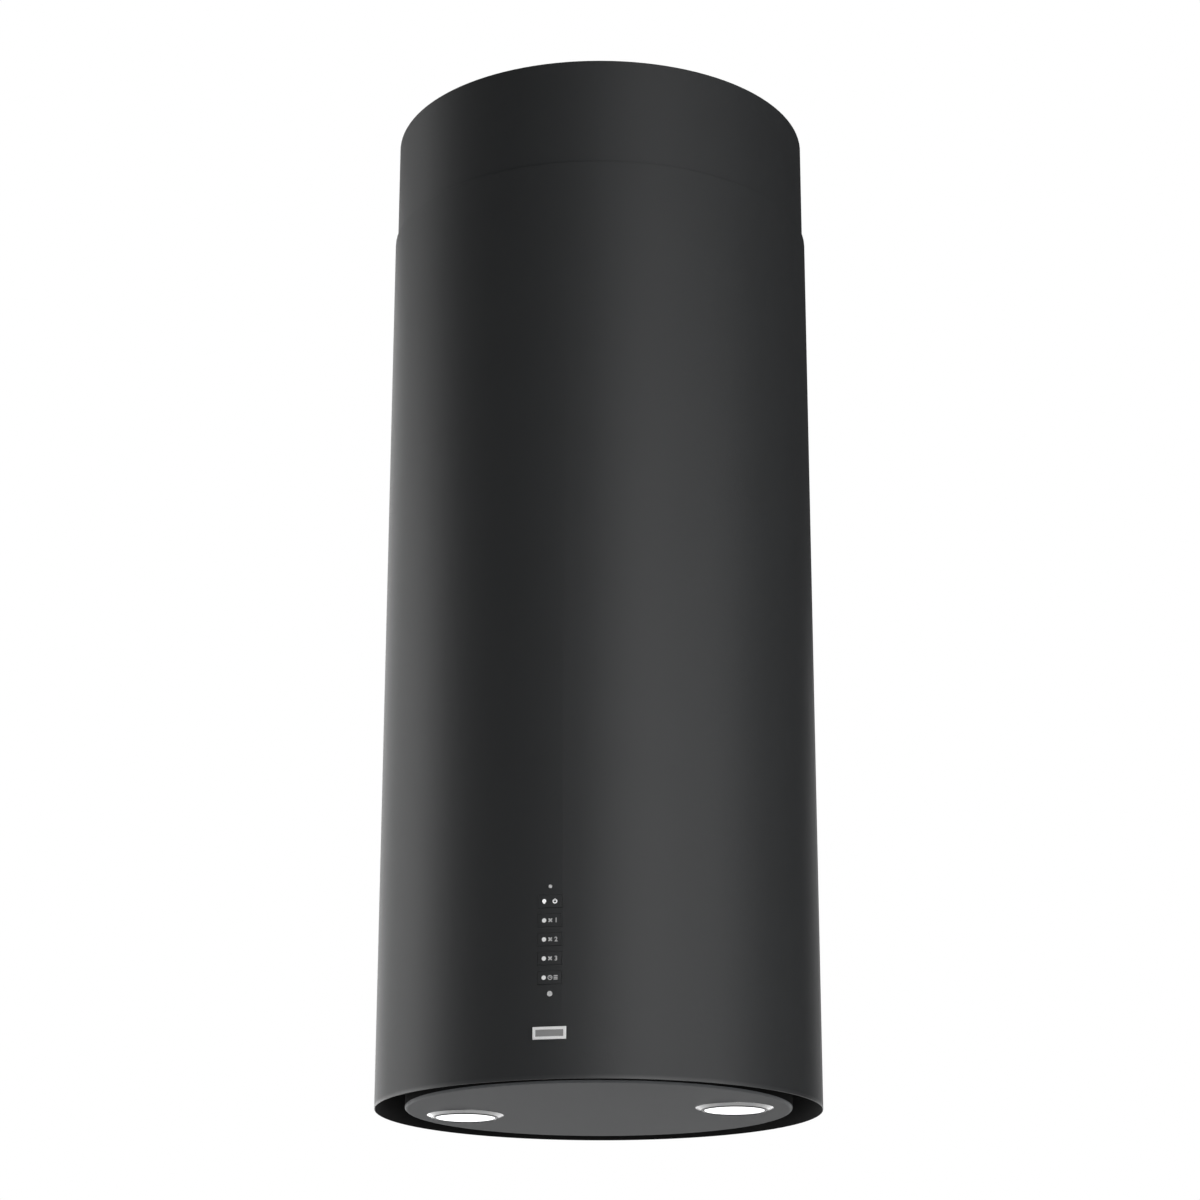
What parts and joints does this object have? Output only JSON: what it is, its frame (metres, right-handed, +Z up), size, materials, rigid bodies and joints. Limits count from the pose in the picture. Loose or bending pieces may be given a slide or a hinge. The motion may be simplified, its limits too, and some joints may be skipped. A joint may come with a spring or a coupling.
{
  "type": "island range hood",
  "caption": "Round ceiling-hung island range hood with telescoping tubes, hinged perimeter-suction panel with lit spots, front keys, grease filter and centrifugal blower.",
  "frame": {"origin": "centre of the ceiling plate, on its upper face, where the hood meets the ceiling", "axes": "+Z up towards the ceiling, -Y towards the front with the keys, +X to the right seen from the front"},
  "size_m": [0.3699, 0.3708, 0.8746],
  "materials": {
    "tube_skin": "fine matte powder coat, dark anthracite",
    "panel_skin": "fine matte powder coat, mid grey",
    "zinc_sheet": "zinc-plated steel sheet",
    "fastener": "zinc-plated steel",
    "black_plastic": "moulded matte plastic",
    "grey_plastic": "moulded matte plastic",
    "blower_plastic": "moulded matte plastic",
    "key_cap": "moulded plastic in the colour of the tube",
    "motor_steel": "painted steel",
    "bright_ring": "satin nickel-plated ring",
    "lamp_lens": "frosted, lit from behind",
    "light_pipe": "clear light pipe",
    "sink": "extruded, plain",
    "filter_alu": "plain",
    "board": "glass-fibre board with a green mask",
    "magnet": "sintered ferrite",
    "plate": "satin, bare",
    "lead": "flexible sheath"
  },
  "bodies": {
    "ceiling_frame": {"ceiling_plate": "zinc_sheet", "upper_tube": "tube_skin", "upper_uprights": "zinc_sheet", "ceiling_foot_screws": "fastener", "upper_tube_screws": "fastener"},
    "hood": {"lower_tube": "tube_skin", "filter_deck": "zinc_sheet", "lower_uprights": "zinc_sheet", "deck_foot_screws": "fastener", "clamp_bolts": "fastener", "clamp_nuts": "fastener", "blower_plate": "zinc_sheet", "plate_rivets": "fastener", "scroll_front": "blower_plastic", "scroll_rear": "blower_plastic", "motor_body": "motor_steel", "motor_bracket": "zinc_sheet", "outlet_collar": "black_plastic", "damper_pin": "fastener", "electronics_carrier": "zinc_sheet", "electronics_box": "grey_plastic", "electronics_lid": "grey_plastic", "capacitor": "sink", "capacitor_clip": "zinc_sheet", "cable_gland": "black_plastic", "inner_leads": "lead", "key_frame": "black_plastic", "control_board": "board", "control_cover": "black_plastic", "control_nuts": "fastener", "indicator_lenses": "light_pipe", "badge_plate": "plate", "hinge_brackets": "zinc_sheet", "hinge_pins": "fastener", "catch_brackets": "zinc_sheet", "catch_magnets": "magnet", "filter_frame": "filter_alu", "filter_mesh": "filter_alu", "filter_brackets": "zinc_sheet", "pan_screws": "fastener"},
    "panel": {"panel_tray": "panel_skin", "hinge_arms": "zinc_sheet", "catch_strikes": "zinc_sheet", "lamp_bezel_left": "bright_ring", "lamp_bezel_right": "bright_ring", "lamp_lens_left": "lamp_lens", "lamp_lens_right": "lamp_lens", "led_modules": "sink", "lamp_clips": "fastener"},
    "impeller": {"impeller": "black_plastic", "motor_shaft": "fastener"},
    "flap_left": {"damper_flap_left": "grey_plastic"},
    "flap_right": {"damper_flap_right": "grey_plastic"},
    "filter_latch": {"filter_latch": "black_plastic"},
    "key_1": {"key_1": "key_cap"},
    "key_2": {"key_2": "key_cap"},
    "key_3": {"key_3": "key_cap"},
    "key_4": {"key_4": "key_cap"},
    "key_5": {"key_5": "key_cap"}
  },
  "joints": [
    {"name": "height_adjust", "type": "slide", "parent": "ceiling_frame", "child": "hood", "axis": [0, 0, 1], "range_m": [-0.2, 0.077]},
    {"name": "panel_hinge", "type": "hinge", "parent": "hood", "child": "panel", "pos_m": [0, 0.14004, -0.8643], "axis": [1, 0, 0], "range_deg": [0, 80]},
    {"name": "impeller_spin", "type": "hinge", "parent": "hood", "child": "impeller", "pos_m": [-0.05602, 0, -0.66528], "axis": [0, -1, 0], "continuous": true},
    {"name": "flap_left_hinge", "type": "hinge", "parent": "hood", "child": "flap_left", "pos_m": [0, 0, -0.44676], "axis": [0, 1, 0], "range_deg": [0, 75]},
    {"name": "flap_right_hinge", "type": "hinge", "parent": "hood", "child": "flap_right", "pos_m": [0, 0, -0.44676], "axis": [0, -1, 0], "range_deg": [0, 75]},
    {"name": "filter_latch_slide", "type": "slide", "parent": "hood", "child": "filter_latch", "axis": [0, 1, 0], "range_m": [0, 0.006], "stiffness_N_per_m": 300},
    {"name": "key_1_press", "type": "slide", "parent": "hood", "child": "key_1", "axis": [0, 1, 0], "range_m": [0, 0.0008], "stiffness_N_per_m": 600},
    {"name": "key_2_press", "type": "slide", "parent": "hood", "child": "key_2", "axis": [0, 1, 0], "range_m": [0, 0.0008], "stiffness_N_per_m": 600},
    {"name": "key_3_press", "type": "slide", "parent": "hood", "child": "key_3", "axis": [0, 1, 0], "range_m": [0, 0.0008], "stiffness_N_per_m": 600},
    {"name": "key_4_press", "type": "slide", "parent": "hood", "child": "key_4", "axis": [0, 1, 0], "range_m": [0, 0.0008], "stiffness_N_per_m": 600},
    {"name": "key_5_press", "type": "slide", "parent": "hood", "child": "key_5", "axis": [0, 1, 0], "range_m": [0, 0.0008], "stiffness_N_per_m": 600}
  ]
}
